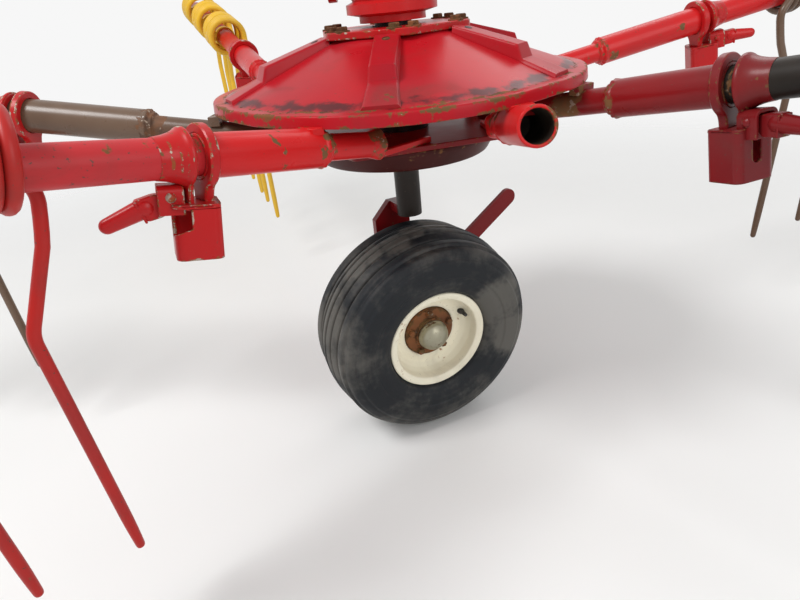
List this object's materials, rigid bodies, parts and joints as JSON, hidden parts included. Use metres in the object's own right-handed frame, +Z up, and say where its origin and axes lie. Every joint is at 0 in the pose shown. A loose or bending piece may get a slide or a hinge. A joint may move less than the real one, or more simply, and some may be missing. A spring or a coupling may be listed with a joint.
{
  "type": "rotary rake rotor unit",
  "caption": "Rotor unit of a rotary rake: drive column, dish cover, tine arms with sprung double tines, arm locks, two empty arm sockets and a ground wheel on a leg.",
  "frame": {"origin": "middle of the drive column's top mounting face, on the rotor axis", "axes": "+Z up along the rotor axis, -Y towards the viewer, X along the cross shaft"},
  "size_m": [2.5111, 2.0653, 0.7994],
  "materials": {
    "red_paint": "worn signal red paint, chipped to rust along the edges",
    "faded_paint": "faded pinkish red paint",
    "dark_red_paint": "dark shaded red paint",
    "brown_steel": "bare steel gone brown",
    "black_paint": "black paint",
    "yellow_paint": "yellow paint",
    "dark_steel": "dark oily steel",
    "cream_paint": "cream paint, stained with rust",
    "rusty_iron": "rusty iron",
    "grey_cap": "grey pressed cap",
    "tyre": "dusty ribbed rubber"
  },
  "bodies": {
    "column": {"drive_column": "red_paint", "spindle": "dark_steel", "leg": "dark_steel", "wheel_crank": "red_paint", "guard_bar": "red_paint"},
    "rotor": {"rotor_hub": "dark_steel", "hub_plate": "red_paint", "carrier_plate": "red_paint", "bottom_pan": "dark_red_paint", "dish": "red_paint", "dish_channels": "red_paint", "lock_housings": "red_paint", "latch_levers": "red_paint", "arm_socket": "red_paint", "rear_socket": "red_paint", "arm_sleeve_1": "red_paint", "arm_sleeve_2": "red_paint", "arm_sleeve_3": "red_paint", "arm_sleeve_5": "red_paint", "arm_sleeve_6": "brown_steel"},
    "wheel": {"tyre": "tyre", "wheel_rim": "cream_paint", "wheel_hub": "rusty_iron", "hub_cap": "grey_cap"},
    "arm_1": {"outer_tube_1": "faded_paint", "tines_1": "red_paint"},
    "arm_2": {"outer_tube_2": "black_paint", "tines_2": "black_paint"},
    "arm_3": {"outer_tube_3": "red_paint", "tines_3": "brown_steel"},
    "arm_5": {"outer_tube_5": "red_paint", "tines_5": "yellow_paint"},
    "arm_6": {"outer_tube_6": "brown_steel", "tines_6": "brown_steel"}
  },
  "joints": [
    {"name": "rotor_spin", "type": "hinge", "parent": "column", "child": "rotor", "pos_m": [0, 0, -0.28], "axis": [0, 0, 1], "continuous": true},
    {"name": "wheel_spin", "type": "hinge", "parent": "column", "child": "wheel", "pos_m": [0.00434, -0.05094, -0.612], "axis": [0.4215, -0.9039, -0.0732], "continuous": true},
    {"name": "arm_1_twist", "type": "hinge", "parent": "rotor", "child": "arm_1", "pos_m": [-0.18418, -0.33052, -0.21984], "axis": [-0.7248, -0.6689, 0.165], "range_deg": [-15, 45]},
    {"name": "arm_2_twist", "type": "hinge", "parent": "rotor", "child": "arm_2", "pos_m": [0.34383, -0.26021, -0.2106], "axis": [0.5936, -0.7877, 0.165], "range_deg": [-15, 45]},
    {"name": "arm_3_twist", "type": "hinge", "parent": "rotor", "child": "arm_3", "pos_m": [0.53493, 0.24978, -0.1832], "axis": [0.959, 0.2302, 0.165], "range_deg": [-15, 45]},
    {"name": "arm_5_twist", "type": "hinge", "parent": "rotor", "child": "arm_5", "pos_m": [-0.34123, 0.48885, -0.18221], "axis": [-0.3933, 0.9045, 0.165], "range_deg": [-15, 45]},
    {"name": "arm_6_twist", "type": "hinge", "parent": "rotor", "child": "arm_6", "pos_m": [-0.50924, -0.07829, -0.19607], "axis": [-0.9832, 0.0774, 0.165], "range_deg": [-15, 45]}
  ]
}
